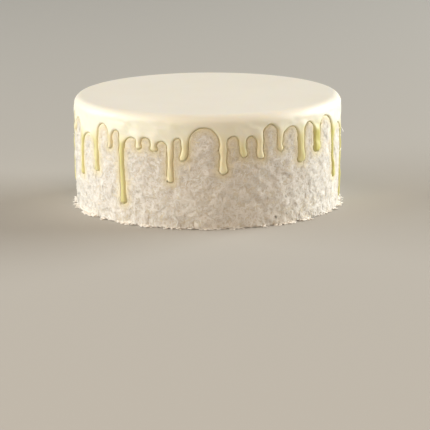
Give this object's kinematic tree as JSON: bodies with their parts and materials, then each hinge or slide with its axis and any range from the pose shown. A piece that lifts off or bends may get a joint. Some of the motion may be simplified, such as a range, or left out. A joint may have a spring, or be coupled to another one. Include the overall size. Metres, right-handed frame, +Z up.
{
  "type": "layer cake",
  "caption": "Round uncut layer cake coated in shredded coconut, under a smooth poured glaze that rounds the rim and runs down the side in arches and drips.",
  "frame": {"origin": "middle of the cake's foot, on the surface that it stands on", "axes": "+Z up through the middle of the cake; -Y is the side shown in the picture, +X is to its right"},
  "size_m": [0.2028, 0.2032, 0.084],
  "materials": {
    "coconut_coat": "matte white shredded coconut",
    "ivory_glaze": "satin ivory poured glaze"
  },
  "bodies": {
    "root": {"cake_body": "coconut_coat", "glaze": "ivory_glaze"}
  },
  "joints": []
}
